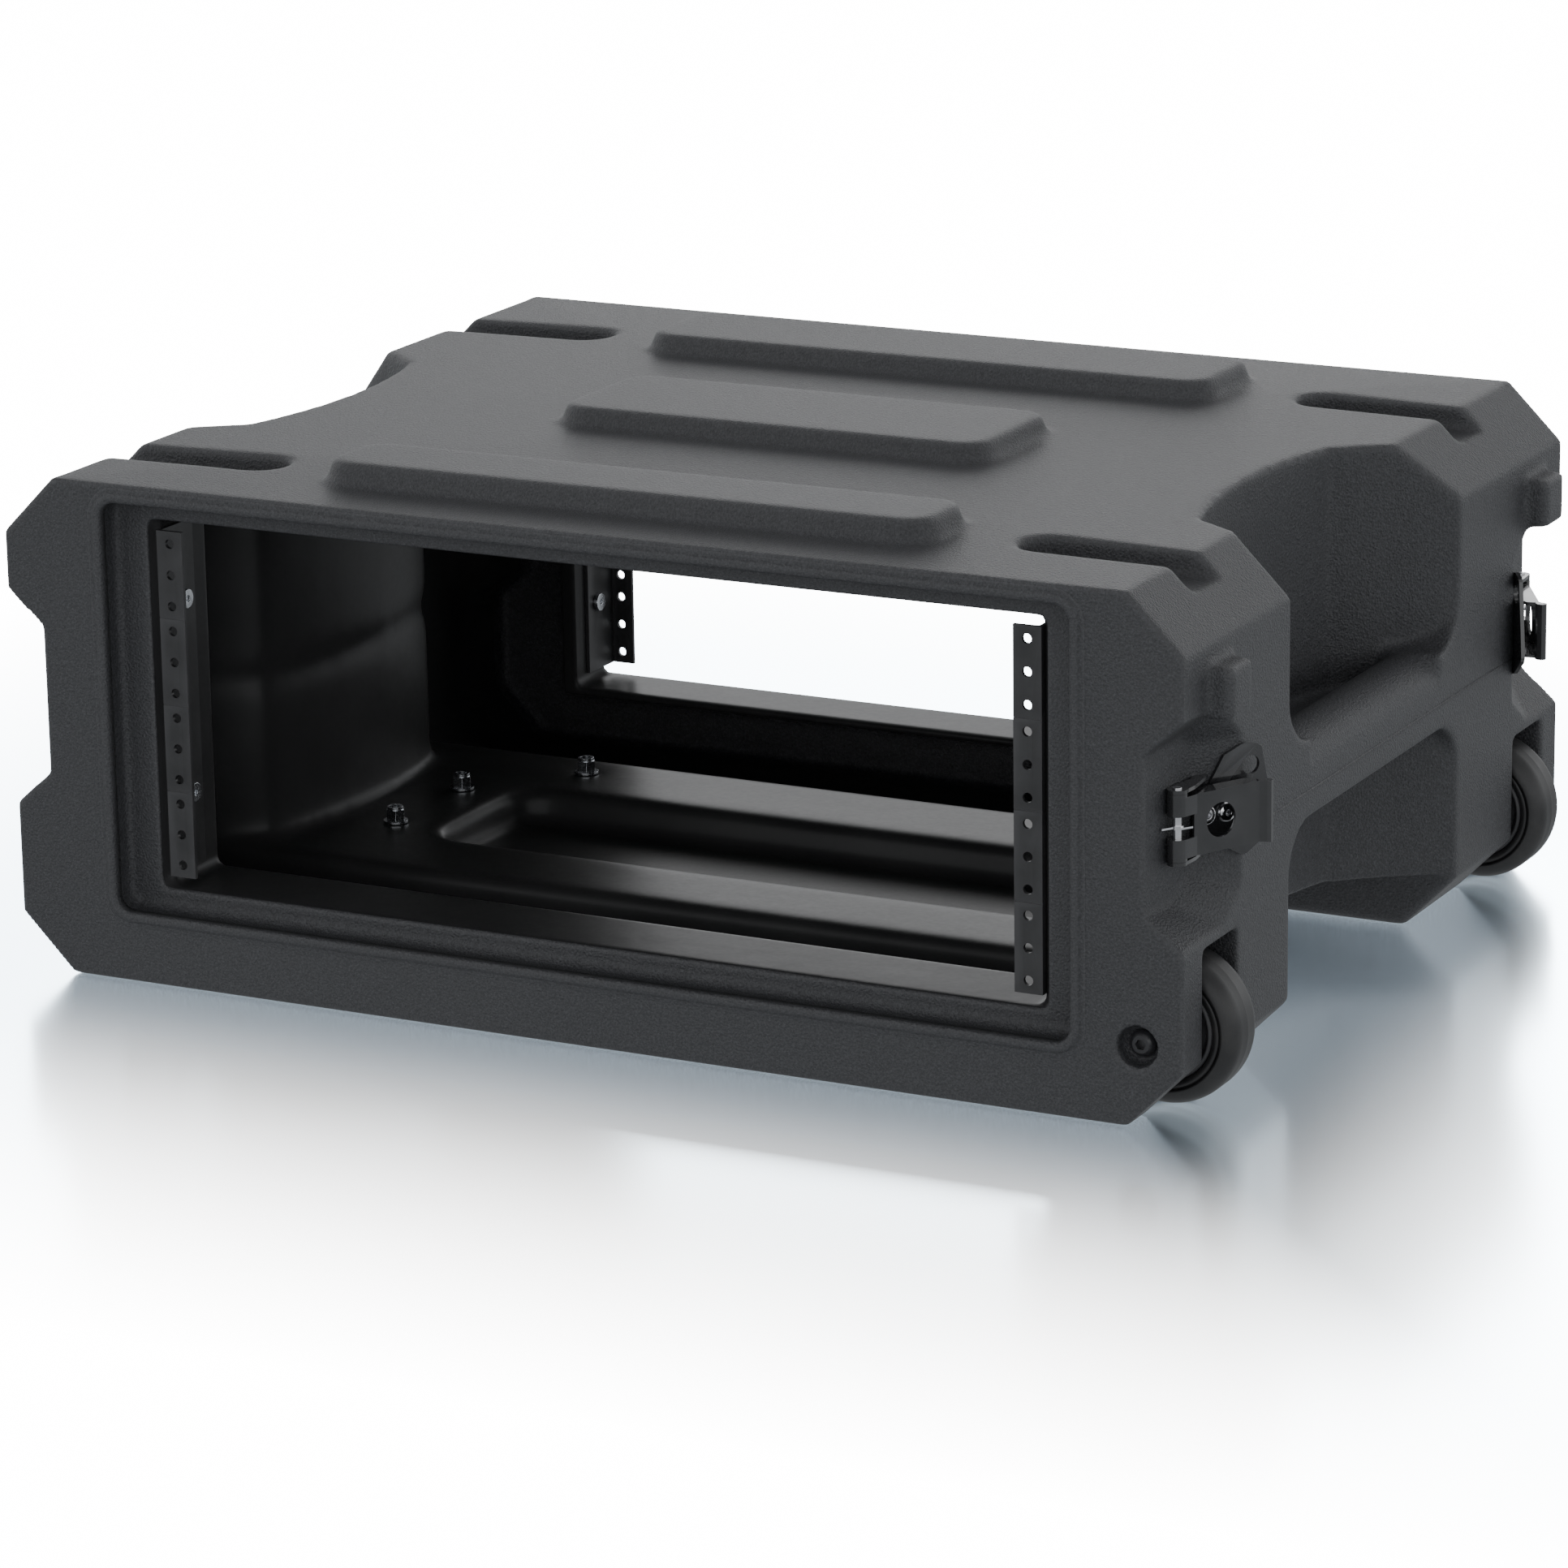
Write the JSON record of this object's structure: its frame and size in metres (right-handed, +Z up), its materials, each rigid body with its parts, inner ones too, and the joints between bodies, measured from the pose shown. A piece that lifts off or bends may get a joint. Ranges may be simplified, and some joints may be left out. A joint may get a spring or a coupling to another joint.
{
  "type": "equipment rack case",
  "caption": "Rotationally moulded rolling shock-style rack case, open front and back, with rack rails, spring latches, corner wheels, side grips and a pull-out tow handle.",
  "frame": {"origin": "centre of the front rail hole pattern, on the front face of the front rails, which is where a rack panel sits", "axes": "+X towards the wheeled side, +Y from the front opening to the rear opening, +Z up with the case on its rims"},
  "size_m": [0.6706, 0.495, 0.2685],
  "materials": {
    "case_plastic": "pebbled, moulded",
    "rail_black": "satin black",
    "tyre_rubber": "smooth",
    "hub_plastic": "satin",
    "latch_black": "gloss black",
    "bolt_black": "black oxide",
    "bright_steel": "bright",
    "zinc_steel": "zinc plated",
    "tube_aluminium": "drawn",
    "tow_plastic": "satin"
  },
  "bodies": {
    "case": {"shell": "case_plastic", "rail_front_left": "rail_black", "rail_front_right": "rail_black", "rail_rear_left": "rail_black", "rail_rear_right": "rail_black", "rail_screws": "zinc_steel", "rail_nuts": "zinc_steel", "axle_sleeve_front": "zinc_steel", "axle_washers_front": "zinc_steel", "axle_bolt_front": "bolt_black", "axle_nut_front": "zinc_steel", "axle_sleeve_rear": "zinc_steel", "axle_washers_rear": "zinc_steel", "axle_bolt_rear": "bolt_black", "axle_nut_rear": "zinc_steel", "latch_base_fr": "latch_black", "latch_rivets_fr": "bright_steel", "latch_pin_fr": "bright_steel", "latch_spring_fr": "bright_steel", "latch_base_fl": "latch_black", "latch_rivets_fl": "bright_steel", "latch_pin_fl": "bright_steel", "latch_spring_fl": "bright_steel", "latch_base_rr": "latch_black", "latch_rivets_rr": "bright_steel", "latch_pin_rr": "bright_steel", "latch_spring_rr": "bright_steel", "latch_base_rl": "latch_black", "latch_rivets_rl": "bright_steel", "latch_pin_rl": "bright_steel", "latch_spring_rl": "bright_steel", "tow_block": "tow_plastic", "tow_tubes": "tube_aluminium", "tow_bolts_lower": "bolt_black", "tow_nuts": "zinc_steel"},
    "wheel_front": {"tyre_front": "tyre_rubber", "hub_front": "hub_plastic"},
    "wheel_rear": {"tyre_rear": "tyre_rubber", "hub_rear": "hub_plastic"},
    "lever_front_right": {"latch_lever_fr": "latch_black"},
    "lever_front_left": {"latch_lever_fl": "latch_black"},
    "lever_rear_right": {"latch_lever_rr": "latch_black"},
    "lever_rear_left": {"latch_lever_rl": "latch_black"},
    "tow_handle": {"tow_rods": "tube_aluminium", "tow_grip": "tow_plastic"}
  },
  "joints": [
    {"name": "wheel_front_spin", "type": "hinge", "parent": "case", "child": "wheel_front", "pos_m": [0.295, 0.027, -0.10215], "axis": [0, 1, 0], "continuous": true},
    {"name": "wheel_rear_spin", "type": "hinge", "parent": "case", "child": "wheel_rear", "pos_m": [0.295, 0.432, -0.10215], "axis": [0, 1, 0], "continuous": true},
    {"name": "latch_front_right_swing", "type": "hinge", "parent": "case", "child": "lever_front_right", "pos_m": [0.30537, 0.00619, -0.00065], "axis": [0, 0, -1], "range_deg": [0, 115]},
    {"name": "latch_front_left_swing", "type": "hinge", "parent": "case", "child": "lever_front_left", "pos_m": [-0.30537, 0.00619, -0.00065], "axis": [0, 0, 1], "range_deg": [0, 115]},
    {"name": "latch_rear_right_swing", "type": "hinge", "parent": "case", "child": "lever_rear_right", "pos_m": [0.30537, 0.45281, -0.00065], "axis": [0, 0, 1], "range_deg": [0, 115]},
    {"name": "latch_rear_left_swing", "type": "hinge", "parent": "case", "child": "lever_rear_left", "pos_m": [-0.30537, 0.45281, -0.00065], "axis": [0, 0, -1], "range_deg": [0, 115]},
    {"name": "tow_handle_slide", "type": "slide", "parent": "case", "child": "tow_handle", "axis": [-1, 0, 0], "range_m": [0, 0.35]}
  ]
}
